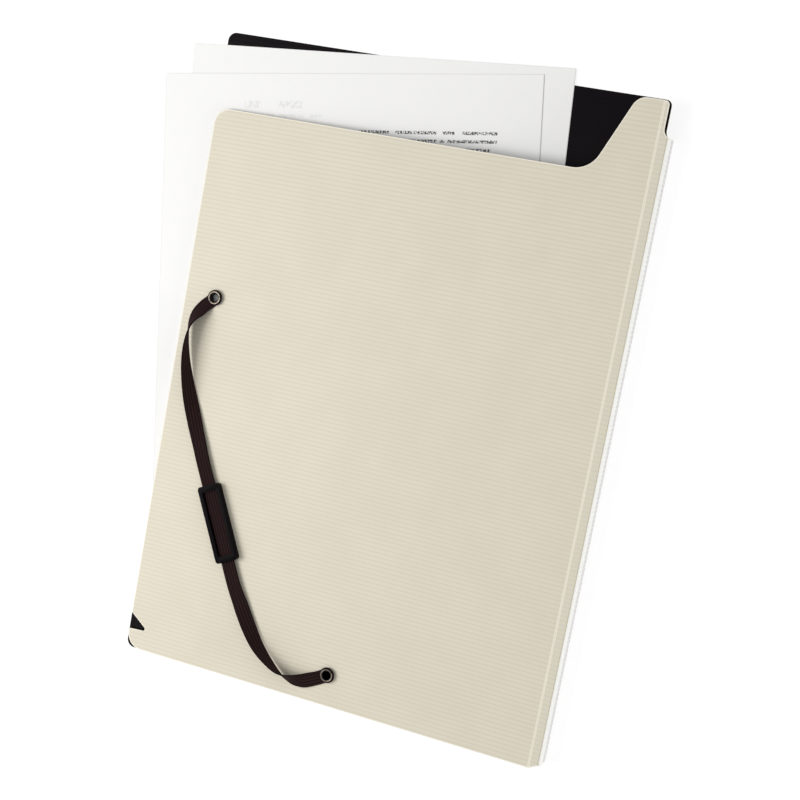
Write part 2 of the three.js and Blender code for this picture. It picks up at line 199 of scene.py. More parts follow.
def arc_corners(corners, steps=8):
    """Outline through corners (x, y, radius), with an arc that touches both its sides in place of each."""
    points = []
    for i, (x, y, radius) in enumerate(corners):
        corner = np.array([x, y])
        if radius == 0:
            points.append(corner[None])
            continue
        sides = [np.array(corners[(i + step) % len(corners)][:2]) - corner for step in (-1, 1)]
        before, after = (side / np.linalg.norm(side) for side in sides)
        half = np.arccos(np.clip(before @ after, -1, 1)) / 2
        bisector = (before + after) / np.linalg.norm(before + after)
        middle = corner + bisector * radius / np.sin(half)
        ends = [corner + side * radius / np.tan(half) - middle for side in (before, after)]
        first, last = (np.arctan2(end[1], end[0]) for end in ends)
        sweep = (last - first + np.pi) % (2 * np.pi) - np.pi
        angle = first + sweep * np.linspace(0, 1, steps + 1)
        points.append(middle + radius * np.stack([np.cos(angle), np.sin(angle)], -1))
    return np.concatenate(points)


def make_object(name, points, faces, slots=None, materials=()):
    """A mesh object at the origin from points in millimetres, faces, and each face's material number."""
    data = bpy.data.meshes.new(name)
    data.from_pydata((points * MM).tolist(), [], [list(face) for face in faces])
    for material in materials:
        data.materials.append(material)
    if slots is not None:
        data.polygons.foreach_set("material_index", np.asarray(slots, np.int32))
    piece = bpy.data.objects.new(name, data)
    bpy.context.scene.collection.objects.link(piece)
    return piece


def read_points(piece):
    """All the vertices of a piece in millimetres, as rows of x, y, z."""
    points = np.empty(len(piece.data.vertices) * 3)
    piece.data.vertices.foreach_get("co", points)
    return points.reshape(-1, 3) / MM


def write_points(piece, points):
    """Puts the vertices of a piece at these points in millimetres."""
    piece.data.vertices.foreach_set("co", (points * MM).ravel())
    piece.data.update()


def finish_modifiers(piece):
    """Makes what the modifiers show the piece's own mesh, and clears them."""
    shown = piece.evaluated_get(bpy.context.evaluated_depsgraph_get())
    piece.data = bpy.data.meshes.new_from_object(shown)
    piece.modifiers.clear()


def prism(outline, low, high):
    """Points and faces of an outline carried straight up from low to high, and closed at both."""
    count = len(outline)
    points = np.concatenate([np.c_[outline, np.full(count, level)] for level in (low, high)])
    first = np.arange(count)
    after = np.roll(first, -1)
    sides = np.stack([first, after, after + count, first + count], -1).tolist()
    return points, [first[::-1].tolist(), (first + count).tolist(), *sides]


def cut(piece, outline, operation, slot=0, low=-CUT_REACH, high=CUT_REACH):
    """Cuts a piece with a prism, keeping its inside or outside. Cut faces get this material number."""
    points, faces = prism(outline, low, high)
    tool = make_object("tool", points, faces, np.full(len(faces), slot), [None] * (slot + 1))
    modifier = piece.modifiers.new("cut", "BOOLEAN")
    modifier.operation = operation
    modifier.solver = "EXACT"
    modifier.material_mode = "INDEX"
    modifier.object = tool
    finish_modifiers(piece)
    bpy.data.objects.remove(tool)


def ribbed_blank(name, across, along, materials):
    """Slab of the sheet in the flat. Its outer face is flat but for a narrow groove, a bell curve, once a rib
    pitch, and its inner face has the same grooves one thickness below. Both are grids, joined at the rim."""
    x, y = np.meshgrid(across, along)
    from_groove = np.mod(y / RIB_PITCH, 1.0) - 0.5
    groove = GROOVE["depth"] * np.exp(-(from_groove / GROOVE["bell"]) ** 2)
    outer = np.stack([x, y, -groove], -1).reshape(-1, 3)
    inner = np.stack([x, y, groove - SHEET], -1).reshape(-1, 3)
    first = np.arange(x.size).reshape(x.shape)
    quads = np.stack([first[:-1, :-1], first[:-1, 1:], first[1:, 1:], first[1:, :-1]], -1).reshape(-1, 4)
    loop = np.concatenate([first[0, :-1], first[:-1, -1], first[-1, :0:-1], first[:0:-1, 0]])
    after = np.roll(loop, -1)
    rim = np.stack([loop + x.size, after + x.size, after, loop], -1)
    faces = np.concatenate([quads, quads[:, ::-1] + x.size, rim])
    slots = np.repeat([0, 1, 2], [len(quads), len(quads), len(rim)])
    return make_object(name, np.concatenate([outer, inner]), faces.tolist(), slots, materials)


def rib_rows(low, high):
    """Places of the rows of a ribbed grid: a fixed number to each rib, and one just past each end."""
    step = RIB_PITCH / RIB_ROWS
    return step * np.arange(np.floor(low / step) - 1, np.ceil(high / step) + 2)


def distance_to(points, outline):
    """Shortest distance from each point to the closed outline, in the flat."""
    start = outline[None]
    along = np.roll(outline, -1, 0)[None] - start
    offset = points[:, None, :2] - start
    share = np.clip((offset * along).sum(-1) / (along ** 2).sum(-1), 0, 1)
    return np.sqrt(((offset - share[..., None] * along) ** 2).sum(-1)).min(1)


def store(piece, name, kind, values):
    """Keeps a value for each vertex of a piece under a name, for its material to read."""
    attribute = piece.data.attributes.new(name, kind, "POINT")
    field = "vector" if kind == "FLOAT_VECTOR" else "value"
    attribute.data.foreach_set(field, values.astype(np.float32).ravel())


def smooth(piece, sharp_deg=35):
    """Smooth shading, with edges sharper than this angle kept sharp."""
    piece.data.polygons.foreach_set("use_smooth", np.ones(len(piece.data.polygons), bool))
    piece.data.set_sharp_from_angle(angle=np.radians(sharp_deg))


def fold(points):
    """Folds flat points round the spine. Going across the blank, the section runs level, turns a quarter
    circle up, climbs the spine, turns again and comes back level. A point below the outer face lies that far
    inside it. The spine leans: its foot is moved out, and the end of the back cover is drawn out to it."""
    quarter = FOLD_RADIUS * np.pi / 2
    level = SPINE_X - FOLD_RADIUS
    climb = SPINE_DEPTH - 2 * FOLD_RADIUS
    s, y, z = points.T
    turn_one = np.clip((s - level) / FOLD_RADIUS, 0, np.pi / 2)
    turn_two = np.clip((s - level - quarter - climb) / FOLD_RADIUS, 0, np.pi / 2)
    up = np.clip(s - level - quarter, 0, climb)
    back = np.maximum(s - level - 2 * quarter - climb, 0)
    run = np.minimum(s, level) + FOLD_RADIUS * (np.sin(turn_one) - 1 + np.cos(turn_two)) - back
    rise = FOLD_RADIUS * (1 - np.cos(turn_one) + np.sin(turn_two)) + up
    reach = np.clip((s - level + SPINE_LEAN["run"]) / SPINE_LEAN["run"], 0, 1)
    lean = SPINE_LEAN["out"] * (1 - rise / SPINE_DEPTH) * reach
    turn = turn_one + turn_two
    return np.stack([run + lean + z * np.sin(turn), y, rise - z * np.cos(turn)], -1) + ORIGIN


def crease_line(end):
    """The band of strained sheet where a panel ends at the crease."""
    return (*CREASE_LINE["colours"], end - CREASE_LINE["width"], end + CREASE_LINE["past"])


quarter_turn = FOLD_RADIUS * np.pi / 2
fold_one = SPINE_X - FOLD_RADIUS
fold_two = fold_one + quarter_turn + SPINE_DEPTH - 2 * FOLD_RADIUS
strip_start = fold_two + quarter_turn
blank_end = strip_start + STRIP_WIDTH - FOLD_RADIUS - CREASE_GAP / 2
cream_side = sheet_material("polypropylene sheet, cream side", CREAM, bands=(
    # Lower spine face: light grey, painted as in shade.
    ("#e9e8e6", "#dcdbda", fold_one - 2 * BAND_BORDER, fold_two - LIT_SPINE_BAND),
    # Upper spine face and the fold into the strip: near white, painted light.
    ("#fcfbf8", "#f8f7f3", fold_two - LIT_SPINE_BAND, strip_start - FOLD_SHADE_LINE),
    # Olive line at the fold into the strip: painted shade.
    ("#c6c0a8", "#c2bca3", strip_start - FOLD_SHADE_LINE, strip_start),
    # Hinge strip: a little darker than the cover, painted shade.
    ("#d9d3c1", "#d3cebb", strip_start, blank_end - CREASE_LINE["width"] - CREASE_LINE["gap"]),
    crease_line(blank_end),
))
black_side = sheet_material("polypropylene sheet, black side", BLACK)
cut_edge = sheet_material("polypropylene sheet, die-cut edge", CUT_FACE)

# Columns of the blank's grid lie close together in its rounded corners and its two bends.
apart, in_bend = BACK_COLUMNS["apart"], BACK_COLUMNS["bend"]
back_columns = np.concatenate([
    BACK_COLUMNS["open edge"],
    np.arange(apart, fold_one - apart / 2, apart),
    fold_one - np.array(BACK_COLUMNS["before fold"]),
    np.linspace(fold_one, fold_one + quarter_turn, in_bend),
    np.linspace(fold_one + 3, fold_two - 0.5, in_bend),
    np.linspace(fold_two, strip_start, in_bend),
    strip_start + np.array(BACK_COLUMNS["strip"])])
back_rows = rib_rows(-BACK_OVERHANG["foot"], BACK_TOP)
back_sheet = ribbed_blank("folded_back_sheet", back_columns, back_rows, (cream_side, black_side, cut_edge))
notch_low = COVER_TOP - THUMB_NOTCH["depth"]
notch_back = SPINE_X - SPINE_LEAN["out"] - THUMB_NOTCH["bite"]
notch_strip = strip_start + THUMB_NOTCH["bite"] - FOLD_RADIUS
relief_start = fold_one - STRIP_WIDTH + FOLD_RADIUS
back_outline = arc_corners([
    (-BACK_OVERHANG["open edge"], -BACK_OVERHANG["foot"], BACK_CORNER),
    (relief_start, -BACK_OVERHANG["foot"], 0),
    (fold_one, SPINE_RELIEF["depth"], SPINE_RELIEF["radius"]),
    (strip_start, SPINE_RELIEF["depth"], SPINE_RELIEF["radius"]),
    (blank_end, 0, 0),
    (blank_end, COVER_TOP, 0),
    (notch_strip, COVER_TOP, TAB_CORNERS["strip"]),
    (notch_strip, notch_low, THUMB_NOTCH["radius"]),
    (notch_back, notch_low, THUMB_NOTCH["radius"]),
    (notch_back, BACK_TOP, TAB_CORNERS["back"]),
    (-BACK_OVERHANG["open edge"], BACK_TOP, BACK_CORNER),
])
cut(back_sheet, back_outline, "INTERSECT", 2)
flat_points = read_points(back_sheet)
store(back_sheet, "flat", "FLOAT_VECTOR", flat_points)
store(back_sheet, "edge", "FLOAT", distance_to(flat_points, back_outline))
write_points(back_sheet, fold(flat_points))
smooth(back_sheet)
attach(back_sheet, "folder")
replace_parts(back_sheet, "back_cover")

# Papers. Two A4 sheets of plain office paper lie loose in the folder and stick out at its top and open edge.
# They are thin enough for the black behind them to show through a little. The front one is printed in grey.
PAPER = {"width": 210.0, "length": 297.0, "thickness": 0.1, "corner": 0.4}
PAPER_CLOUD = 6.0
# The papers' rim is shade painted along their cut edges. It fades in from the first distance to its full
# strength at the second.
PAPER_EDGE_SHADE = {"colour": "#b4b2b0", "side": (0.5, 0.3), "top": (0.4, 0.2), "top strength": 0.4,
             "left strength": 0.25}
PAPERS = {
    "paper_rear": {"top": (84.7, 345.35), "turn": 4.65, "z": 0.95, "lines": 0, "rim": 0.4},
    "paper_front": {"top": (70.05, 333.6), "turn": 8.24, "z": 1.1, "lines": 6, "rim": 0.8},
}
BODY_TEXT = {"first": 30.2, "step": 4.3, "left": 112.5, "right": 187.3}
INK = {"heading": "#c4c4c1", "body": "#3a3a38"}
# Grain and softness are shares of the letter height.
LETTER = {"grain": 0.5, "from": 0.4, "to": 0.54, "soft": 0.12}
WORD = {"grain": 3.2, "from": 0.36, "to": 0.42, "end": 0.3}


def paper_material(name, lines, rim):
    """Bleached office paper: matt, faintly blue white, a little see-through, with a fibre too fine to show
    but for a faint cloudiness. Lines are (down, from, to, letter height, ink colour, strength), drawn as bars
    broken into words. Rim is how strong the shade painted along the cut edges is, as a grey rim: most on the
    right, least on the left."""
    material, tree = new_material(name)
    flat, across, down = flat_place(tree)
    place = add_node(tree, "TexCoord").outputs["Object"]
    cloud_scale = 1 / (PAPER_CLOUD * MM)
    cloud = add_node(tree, "TexNoise", links={"Vector": place, "Scale": cloud_scale, "Detail": 4.0})
    colour = paint(tree, "#f5f5f3", (cloud.outputs["Fac"], "#f8f7f6"))
    for line, start, end, height, ink, strength in lines:
        row = add_node(tree, "CombineXYZ", links={0: across, 1: line}).outputs[0]
        letters = add_node(tree, "TexNoise", {"noise_dimensions": "2D"},
                           {"Vector": flat, "Scale": 1 / (height * LETTER["grain"]), "Detail": 1.0})
        words = add_node(tree, "TexNoise", {"noise_dimensions": "2D"},
                         {"Vector": row, "Scale": 1 / (height * WORD["grain"]), "Detail": 0.0})
        near, far = height * (0.5 - LETTER["soft"]), height * (0.5 + LETTER["soft"])
        inked = fade(tree, strength,
                     (letters.outputs["Fac"], LETTER["from"], LETTER["to"]),
                     (words.outputs["Fac"], WORD["from"], WORD["to"]),
                     (down, line - far, line - near), (down, line + far, line + near),
                     (across, start, start + WORD["end"]), (across, end, end - WORD["end"]))
        colour = paint(tree, colour, (inked, ink))
    # Painted shade: a grey rim along the cut edges, strongest on the right.
    none, full = PAPER_EDGE_SHADE["side"]
    right = fade(tree, rim, (across, PAPER["width"] - none, PAPER["width"] - full))
    top = fade(tree, rim * PAPER_EDGE_SHADE["top strength"], (down, *PAPER_EDGE_SHADE["top"]))
    left = fade(tree, rim * PAPER_EDGE_SHADE["left strength"], (across, none, full))
    for edge_shade_share in (right, top, left):
        colour = paint(tree, colour, (edge_shade_share, PAPER_EDGE_SHADE["colour"]))
    finish_surface(tree, {"Base Color": colour, "Roughness": 0.9, "Specular IOR Level": 0.2, "Alpha": 0.975})
    return material


def paper_sheet(name, lines, top, turn, z, rim):
    """A flat sheet hung from the middle of its top edge and turned about it. Its corners are slightly rounded
    off by handling, and it is a closed slab of the paper's real thickness."""
    half, length, corner = PAPER["width"] / 2, PAPER["length"], PAPER["corner"]
    corners = [(-half, -length, corner), (half, -length, corner), (half, 0, corner), (-half, 0, corner)]
    points, faces = prism(arc_corners(corners, 3), 0, PAPER["thickness"])
    angle = np.radians(turn)
    x = top[0] + points[:, 0] * np.cos(angle) - points[:, 1] * np.sin(angle)
    y = top[1] + points[:, 0] * np.sin(angle) + points[:, 1] * np.cos(angle)
    material = paper_material(f"office paper, {name}", lines, rim)
    sheet = make_object(name, np.stack([x, y, points[:, 2] + z], -1) + ORIGIN, faces, materials=(material,))
    store(sheet, "flat", "FLOAT_VECTOR", np.stack([points[:, 0] + half, -points[:, 1], points[:, 2]], -1))
    return sheet


heading = [(16.5, 47.0, 84.5, 3.8, INK["heading"], 0.28), (22.4, 56.0, 91.5, 1.8, INK["heading"], 0.28)]
body_text = [(BODY_TEXT["first"] + BODY_TEXT["step"] * i, BODY_TEXT["left"], BODY_TEXT["right"], 1.6,
              INK["body"], 0.95) for i in range(4)]
for node, place in PAPERS.items():
    lines = (heading + body_text)[:place["lines"]]
    sheet = paper_sheet(f"{node}_sheet", lines, place["top"], place["turn"], place["z"], place["rim"])
    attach(sheet, "folder")
    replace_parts(sheet, node)

# Front cover. A second panel of the same sheet, cut with a low top edge, a swept shoulder beside the spine
# and a small notch in its open edge. It slopes from the crease to the papers, and is punched for the eyelets.
COVER_WIDTH = 237.8
COVER_LOW_TOP = 304.8
COVER_EDGE_HEIGHT = 2.8
COVER_CORNER = 8.5
SHOULDER = {"foot": 30.2, "run": 16.9, "foot radius": 13.5, "head radius": 7.5}
EDGE_NOTCH = {"top": 20.0, "bottom": 10.5, "depth": 11.7, "tip": 11.2, "tip radius": 1.2, "mouth radius": 0.5}
EYELETS = {"upper": np.array([18.5, 203.7]), "lower": np.array([121.4, 17.2])}
PUNCHED_RADIUS = 2.8
COVER_COLUMNS = {"open edge": (-2, 0.5, 1.5, 3, 5, 8, 11, 14), "first": 22, "apart": 14, "sweep": 3,
                 "crease": (-1.2, -0.6, 1.0)}
COVER_TILT = np.arcsin((SPINE_DEPTH - COVER_EDGE_HEIGHT) / COVER_WIDTH)
CREASE = np.array([SPINE_X - STRIP_WIDTH, 0.0, SPINE_DEPTH]) + ORIGIN


def on_cover(points):
    """Points in the front cover's own frame, x from its open edge and z up from its outer face, put in their
    place: measured back from the crease and tilted about it."""
    x, y, z = (points - [COVER_WIDTH, 0, 0]).T
    cos, sin = np.cos(COVER_TILT), np.sin(COVER_TILT)
    return np.stack([x * cos - z * sin, y, x * sin + z * cos], -1) + CREASE


def circle(middle, radius, count=48):
    """Points of a circle, counter-clockwise."""
    angle = np.linspace(0, 2 * np.pi, count, endpoint=False)
    return np.array(middle) + radius * np.stack([np.cos(angle), np.sin(angle)], -1)


cover_end = COVER_WIDTH - CREASE_GAP / 2
shoulder_foot = COVER_WIDTH - SHOULDER["foot"]
cover_cream = sheet_material("polypropylene cover, cream side", CREAM, bands=(crease_line(cover_end),))

# Its columns lie close together at the notch, under the shoulder's sweep and at the crease.
apart = COVER_COLUMNS["apart"]
cover_columns = np.concatenate([
    COVER_COLUMNS["open edge"],
    np.arange(COVER_COLUMNS["first"], shoulder_foot - apart - 2, apart),
    np.arange(shoulder_foot - apart, cover_end - 2, COVER_COLUMNS["sweep"]),
    cover_end + np.array(COVER_COLUMNS["crease"])])
cover_rows = rib_rows(0, COVER_TOP)
cover_sides = (cover_cream, black_side, cut_edge)
front_sheet = ribbed_blank("front_cover_sheet", cover_columns, cover_rows, cover_sides)
cover_outline = arc_corners([
    (0, 0, COVER_CORNER),
    (cover_end, 0, 0),
    (cover_end, COVER_TOP, 0),
    (shoulder_foot + SHOULDER["run"], COVER_TOP, SHOULDER["head radius"]),
    (shoulder_foot, COVER_LOW_TOP, SHOULDER["foot radius"]),
    (0, COVER_LOW_TOP, COVER_CORNER),
    (0, EDGE_NOTCH["top"], EDGE_NOTCH["mouth radius"]),
    (EDGE_NOTCH["depth"], EDGE_NOTCH["tip"], EDGE_NOTCH["tip radius"]),
    (0, EDGE_NOTCH["bottom"], EDGE_NOTCH["mouth radius"]),
])
cut(front_sheet, cover_outline, "INTERSECT", 2)
for middle in EYELETS.values():
    cut(front_sheet, circle(middle, PUNCHED_RADIUS), "DIFFERENCE", 2)
flat_points = read_points(front_sheet)
store(front_sheet, "flat", "FLOAT_VECTOR", flat_points)
store(front_sheet, "edge", "FLOAT", distance_to(flat_points, cover_outline))
write_points(front_sheet, on_cover(flat_points))
smooth(front_sheet)
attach(front_sheet, "cover")
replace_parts(front_sheet, "front_cover")

# Crease. The web that is left of the sheet where the scoring rule pressed it, between the hinge strip and the
# front cover. It is thin and strained pale, and it is what bends when the folder is opened.
WEB = {"thickness": 0.3, "overlap": 0.12, "short": 0.15, "sides": 16, "rows": 40, "from edge": 9.0}
WEB_FACE = {"plain": "#dfd9c9", "mottle": "#dcd6c5", "groove": "#d6cfbd", "edge": "#dfd9c9",
            "roughness": 0.55, "gloss": 0.5}


def tube(points, rows, sides):
    """Points and faces of a closed tube: a ring of sides to each row, joined row by row, and capped at both
    ends. The rings turn so that the faces point outwards."""
    first = np.arange(rows * sides).reshape(rows, sides)
    after = np.roll(first, -1, 1)
    walls = np.stack([first[:-1], after[:-1], after[1:], first[1:]], -1).reshape(-1, 4).tolist()
    return points, [*walls, first[0, ::-1].tolist(), first[-1].tolist()]


def crease_web():
    """A thin band along the crease, its section an ellipse whose top is level with the sheet's outer face."""
    angle = np.linspace(0, 2 * np.pi, WEB["sides"], endpoint=False)
    half = CREASE_GAP / 2 + WEB["overlap"]
    x, z = half * np.cos(angle), WEB["thickness"] / 2 * (np.sin(angle) - 1)
    rows = np.linspace(WEB["short"], COVER_TOP - WEB["short"], WEB["rows"])
    points = np.stack([np.tile(x, len(rows)), np.repeat(rows, len(x)), np.tile(z, len(rows))], -1)
    return tube(points + CREASE, len(rows), len(x))


web_points, web_faces = crease_web()
web_material = sheet_material("polypropylene sheet, crease", WEB_FACE)
web = make_object("crease_web", web_points, web_faces, materials=(web_material,))
store(web, "flat", "FLOAT_VECTOR", web_points - ORIGIN)
store(web, "edge", "FLOAT", np.full(len(web_points), WEB["from edge"]))
smooth(web)
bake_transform(web)

# Elastic strap. Flat braided elastic, dyed dark brown, with rubber cores that make fine ridges along it. It
# runs from eyelet to eyelet over the front cover, stands on edge in two bends and lies upside down between.
STRAP = {"width": 8.2, "thickness": 0.9, "seat": 0.15, "rounded": 0.1, "thinnest": 0.12}
STRAP_MIDDLE = STRAP["seat"] + STRAP["thickness"] / 2
STRAP_GRID = {"columns": 88, "rows": 9}
SLIDER = {"x": 43.85, "y": 82.9, "turn": -63.8, "length": 43.2, "lift": 1.9}
STRAIGHT_HALF = 36.0
RIDGE = {"pitch": 1.64, "height": 0.15}
# Shade painted darker into the valleys between the ridges and along the strap's edges.
VALLEY_SHADE = {"colour": "#0b0708", "strength": 0.85, "from": 0.2, "to": -0.7}
SELVEDGE_SHADE = {"colour": "#060304", "strength": 0.8, "from": 3.2, "to": 3.8}
# The thread's pitch is a guess, as it is too fine to be seen.
THREAD = {"pitch": 0.62, "height": 0.08, "share": 0.6}
FIBRES_PER_MM = (0.25, 3.0, 0)
UPPER_BEND = (
    (-0.022, 0.028, 0, 0, 0.5), (0, 0, 0, 0, 0.85), (0.034, -0.041, 0, -2, 0.9),
    (0.056, -0.065, 0.085, -11, 0.96), (0.083, -0.086, 0.244, -18, 1), (0.11, -0.107, 0.366, -29, 1),
    (0.139, -0.123, 0.463, -42, 1), (0.173, -0.135, 0.537, -54, 1), (0.211, -0.142, 0.573, -65, 1),
    (0.277, -0.149, 0.585, -79, 1), (0.354, -0.149, 0.561, -92, 1), (0.435, -0.142, 0.512, -104, 1),
    (0.534, -0.127, 0.402, -120, 1), (0.633, -0.106, 0.317, -137, 1), (0.726, -0.082, 0.244, -155, 1),
    (0.818, -0.057, 0.195, -168, 1), (0.91, -0.028, 0.171, -176, 1))
LOWER_BEND = (
    (0.104, -0.056, 0.195, -170, 1), (0.205, -0.107, 0.28, -154, 1), (0.319, -0.16, 0.378, -138, 1),
    (0.439, -0.207, 0.463, -121, 1), (0.564, -0.234, 0.524, -102, 1), (0.682, -0.245, 0.549, -82, 1),
    (0.733, -0.24, 0.524, -68, 1), (0.775, -0.229, 0.463, -53, 1), (0.818, -0.212, 0.378, -36, 1),
    (0.855, -0.19, 0.268, -23, 1), (0.89, -0.162, 0.159, -13, 1), (0.922, -0.122, 0.061, -6, 0.96),
    (0.958, -0.072, 0, 0, 0.9), (1, 0, 0, 0, 0.85), (1.024, 0.039, 0, 0, 0.5))


def bend_stations(start, end, table):
    """A bend's stations, from shares of the line between its ends: along it, to the left of it, then the rise
    over the cover and the width as shares of the strap's width, with the twist in degrees between them."""
    along, aside, rise, twist, width = np.array(table, float).T
    line = end - start
    left = np.array([-line[1], line[0]])
    middle = start + along[:, None] * line + aside[:, None] * left
    return np.c_[middle, STRAP_MIDDLE + rise * STRAP["width"], twist, width * STRAP["width"]]


def strap_stations():
    """Middle, twist and width of the strap at each station: a bend, the straight run and a second bend."""
    turn = np.radians(SLIDER["turn"])
    run = np.array([[SLIDER["x"] + np.cos(turn) * d, SLIDER["y"] + np.sin(turn) * d, SLIDER["lift"], -180.0,
                     STRAP["width"]] for d in (-STRAIGHT_HALF, 0, STRAIGHT_HALF)])
    return np.concatenate([bend_stations(EYELETS["upper"], run[0, :2], UPPER_BEND), run,
                           bend_stations(run[-1, :2], EYELETS["lower"], LOWER_BEND)])


def through(stations, steps):
    """Smooth curve through the stations: a cubic between each two, whose slope at a station weighs its
    neighbours by the square root of their distance. Gives the values and their slopes."""
    padded = np.concatenate([2 * stations[:1] - stations[1:2], stations, 2 * stations[-1:] - stations[-2:-1]])
    gap = np.sqrt(np.linalg.norm(np.diff(padded[:, :3], axis=0), axis=1))[:, None]
    p0, p1, p2, p3 = padded[:-3], padded[1:-2], padded[2:-1], padded[3:]
    g0, g1, g2 = gap[:-2], gap[1:-1], gap[2:]
    slope_one = g1 * ((p1 - p0) / g0 - (p2 - p0) / (g0 + g1) + (p2 - p1) / g1)
    slope_two = g1 * ((p2 - p1) / g1 - (p3 - p1) / (g1 + g2) + (p3 - p2) / g2)
    squared = 3 * (p2 - p1) - 2 * slope_one - slope_two
    cubed = 2 * (p1 - p2) + slope_one + slope_two
    t = np.linspace(0, 1, steps, endpoint=False)[None, :, None]
    values = p1[:, None] + t * (slope_one[:, None] + t * (squared[:, None] + t * cubed[:, None]))
    slopes = slope_one[:, None] + t * (2 * squared[:, None] + 3 * t * cubed[:, None])
    width = stations.shape[1]
    return (np.concatenate([values.reshape(-1, width), stations[-1:]]),
            np.concatenate([slopes.reshape(-1, width), slope_two[-1:]]))


def unit(vectors):
    """Each vector at length one."""
    return vectors / np.linalg.norm(vectors, axis=-1, keepdims=True)


def strap_route():
    """Middle, width, three directions and run so far at each section of the strap. Across is the level
    direction square to the run, turned about the run by the twist, and face is square to both."""
    values, slopes = through(strap_stations(), STRAP_GRID["rows"])
    middle = values[:, :3]
    forward = unit(slopes[:, :3])
    level = unit(np.stack([forward[:, 1], -forward[:, 0], np.zeros(len(forward))], -1))
    twist = np.radians(values[:, 3])[:, None]
    across = level * np.cos(twist) - unit(np.cross(forward, level)) * np.sin(twist)
    run = np.concatenate([[0], np.cumsum(np.linalg.norm(np.diff(middle, axis=0), axis=1))])
    return {"middle": middle, "width": values[:, 4], "forward": forward, "across": across,
            "face": unit(np.cross(forward, across)), "run": run}


def strap_band(route):
    """The strap's section carried along its route: a flat bar with cosine ridges on both faces, and its edges
    rounded off over a share of half the width, to no less than a share of the thickness."""
    side = np.cos(np.linspace(0, np.pi, STRAP_GRID["columns"])) * 0.5
    into_edge = np.clip((np.abs(side) * 2 - 1 + STRAP["rounded"]) / STRAP["rounded"], 0, 1)
    valley = (1 - np.cos(2 * np.pi * side * STRAP["width"] / RIDGE["pitch"])) / STRAP["thickness"]
    crown = np.sqrt(1 - into_edge ** 2) * (1 - RIDGE["height"] * valley)
    half = STRAP["thickness"] / 2 * np.maximum(crown, STRAP["thinnest"])
    section = np.concatenate([np.stack([-side, -half], -1), np.stack([side, half], -1)])
    sideways = (route["across"] * route["width"][:, None])[:, None] * section[None, :, :1]
    points = route["middle"][:, None] + sideways + route["face"][:, None] * section[None, :, 1:]
    return tube(points.reshape(-1, 3), len(points), len(section))


def place_on_strap(points, route):
    """How far along and across the strap each point lies, from the middle of the section nearest to it."""
    nearest = np.argmin((route["middle"] ** 2).sum(-1) - 2 * points @ route["middle"].T, 1)
    offset = points - route["middle"][nearest]
    along = route["run"][nearest] + (offset * route["forward"][nearest]).sum(-1)
    return np.stack([along, (offset * route["across"][nearest]).sum(-1), np.zeros(len(points))], -1)


def elastic_material():
    """Braided polyester over rubber cores: dull dark brown with a fine slanted thread on each ridge, with
    shade painted darker into the valleys and along the selvedges, and a faint sheen where the threads stand
    proud."""
    material, tree = new_material("braided elastic, dark brown")
    flat, along, across = flat_place(tree)
    slant = (1 / THREAD["pitch"], 1 / RIDGE["pitch"], 0)
    slanted = add_node(tree, "VectorMath", {"operation": "DOT_PRODUCT"}, {0: flat, 1: slant})
    thread = add_node(tree, "Math", {"operation": "PINGPONG"}, {0: slanted.outputs["Value"], 1: 0.5})
    drawn_out = add_node(tree, "VectorMath", {"operation": "MULTIPLY"}, {0: flat, 1: FIBRES_PER_MM})
    fibres = add_node(tree, "TexNoise", links={"Vector": drawn_out.outputs[0], "Scale": 1.0, "Detail": 2.0})
    turn = add_node(tree, "Math", {"operation": "MULTIPLY"}, {0: across, 1: 2 * np.pi / RIDGE["pitch"]})
    ridge = add_node(tree, "Math", {"operation": "COSINE"}, {0: turn.outputs[0]})
    from_middle = add_node(tree, "Math", {"operation": "ABSOLUTE"}, {0: across})
    # Painted shade in the valleys and along the edges.
    valley_shade = fade(tree, VALLEY_SHADE["strength"], (ridge.outputs[0], VALLEY_SHADE["from"], VALLEY_SHADE["to"]))
    selvedge_shade = fade(tree, SELVEDGE_SHADE["strength"], (from_middle.outputs[0], SELVEDGE_SHADE["from"], SELVEDGE_SHADE["to"]))
    colour = paint(tree, "#211213", (fibres.outputs["Fac"], "#331e1e"), (valley_shade, VALLEY_SHADE["colour"]),
                   (selvedge_shade, SELVEDGE_SHADE["colour"]))
    height = add_node(tree, "Math", {"operation": "MULTIPLY_ADD"},
                      {0: thread.outputs[0], 1: THREAD["share"], 2: fibres.outputs["Fac"]})
    bump = add_node(tree, "Bump", links={"Height": height.outputs[0], "Strength": 0.6,
                                         "Distance": THREAD["height"] * MM})
    finish_surface(tree, {"Base Color": colour, "Normal": bump.outputs[0], "Roughness": 0.85,
                          "Specular IOR Level": 0.08, "Sheen Weight": 0.02})
    return material


route = strap_route()
strap = make_object("elastic_strap_band", *strap_band(route), materials=(elastic_material(),))
for middle in EYELETS.values():
    cut(strap, circle(middle, PUNCHED_RADIUS), "DIFFERENCE")
strap_points = read_points(strap)
store(strap, "flat", "FLOAT_VECTOR", place_on_strap(strap_points, route))
write_points(strap, on_cover(strap_points))
smooth(strap, 50)
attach(strap, "cover")
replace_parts(strap, "elastic_strap")

# Eyelets and washers. Hollow rivets of thin brass plated gunmetal, pressed through strap and cover, with the
# end of each barrel curled outwards over a flat washer behind. A tan ring is painted on the crown as its
# highlight.
EYELET = {"bore": 2.2, "wall": 0.4, "flange": 4.3, "dome": 0.95, "curl": 3.7, "curl height": 0.55}
WASHER = {"radius": 4.4, "thickness": 0.35, "gap": 0.1, "edge": 0.08}
# A tan ring painted on the crown as its highlight, across these radii, broken into patches of this size.
CROWN_HIGHLIGHT = {"from": 2.7, "full": 2.9, "fading": 3.3, "to": 3.5}
HIGHLIGHT_PATCH = {"size": 1.5, "from": 0.2, "to": 0.6}


